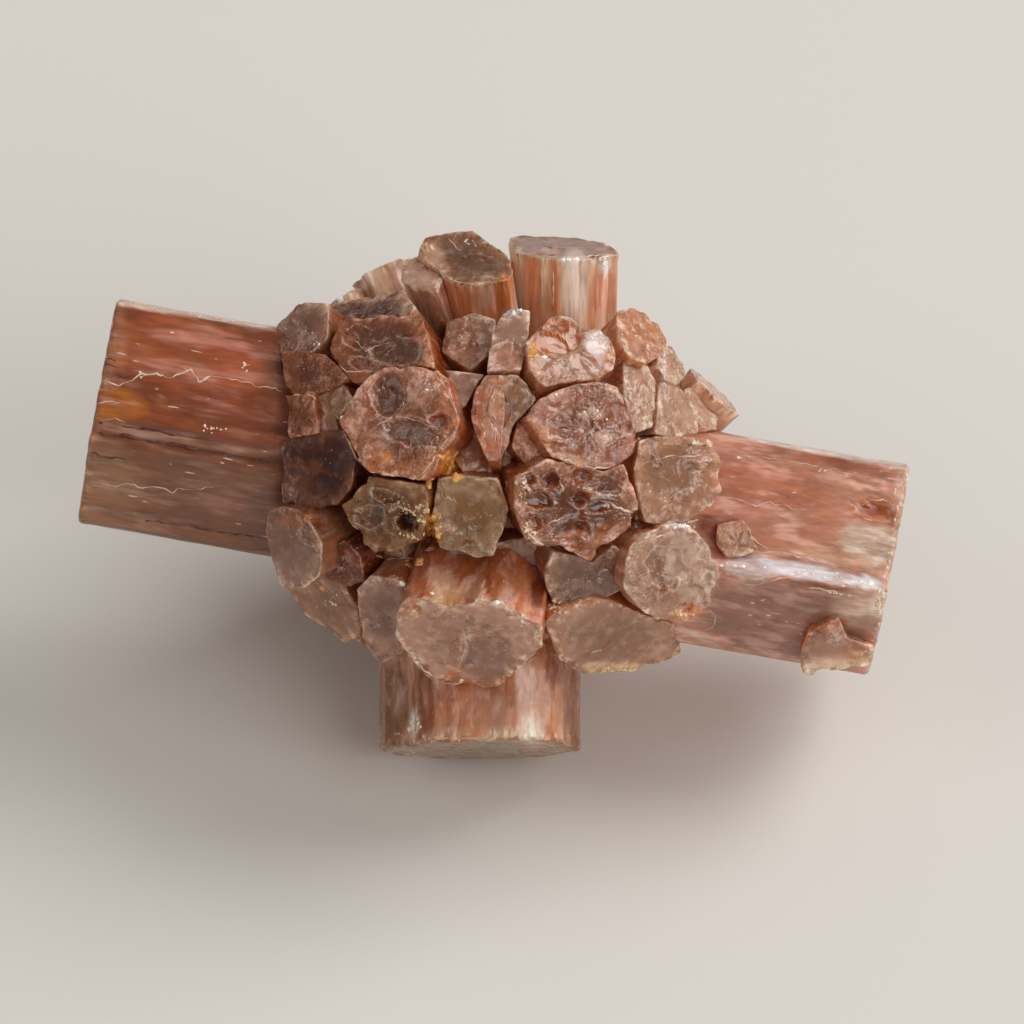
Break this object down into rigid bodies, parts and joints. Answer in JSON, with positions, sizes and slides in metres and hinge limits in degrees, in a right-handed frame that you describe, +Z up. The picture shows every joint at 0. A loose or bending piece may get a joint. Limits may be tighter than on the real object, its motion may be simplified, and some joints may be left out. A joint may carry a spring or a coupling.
{
  "type": "aragonite specimen",
  "caption": "Mineral specimen: a radiating cluster of six-sided twinned aragonite prisms, three of them long, grown together in one piece.",
  "frame": {"origin": "middle of the flat tip of the base crystal, on the surface that the cluster rests on", "axes": "+X to the right along the long prisms, +Y away from the viewer, +Z up from the surface it rests on"},
  "size_m": [0.0517, 0.0315, 0.0307],
  "materials": {
    "aragonite": "satin"
  },
  "bodies": {
    "root": {"aragonite_cluster": "aragonite"}
  },
  "joints": []
}
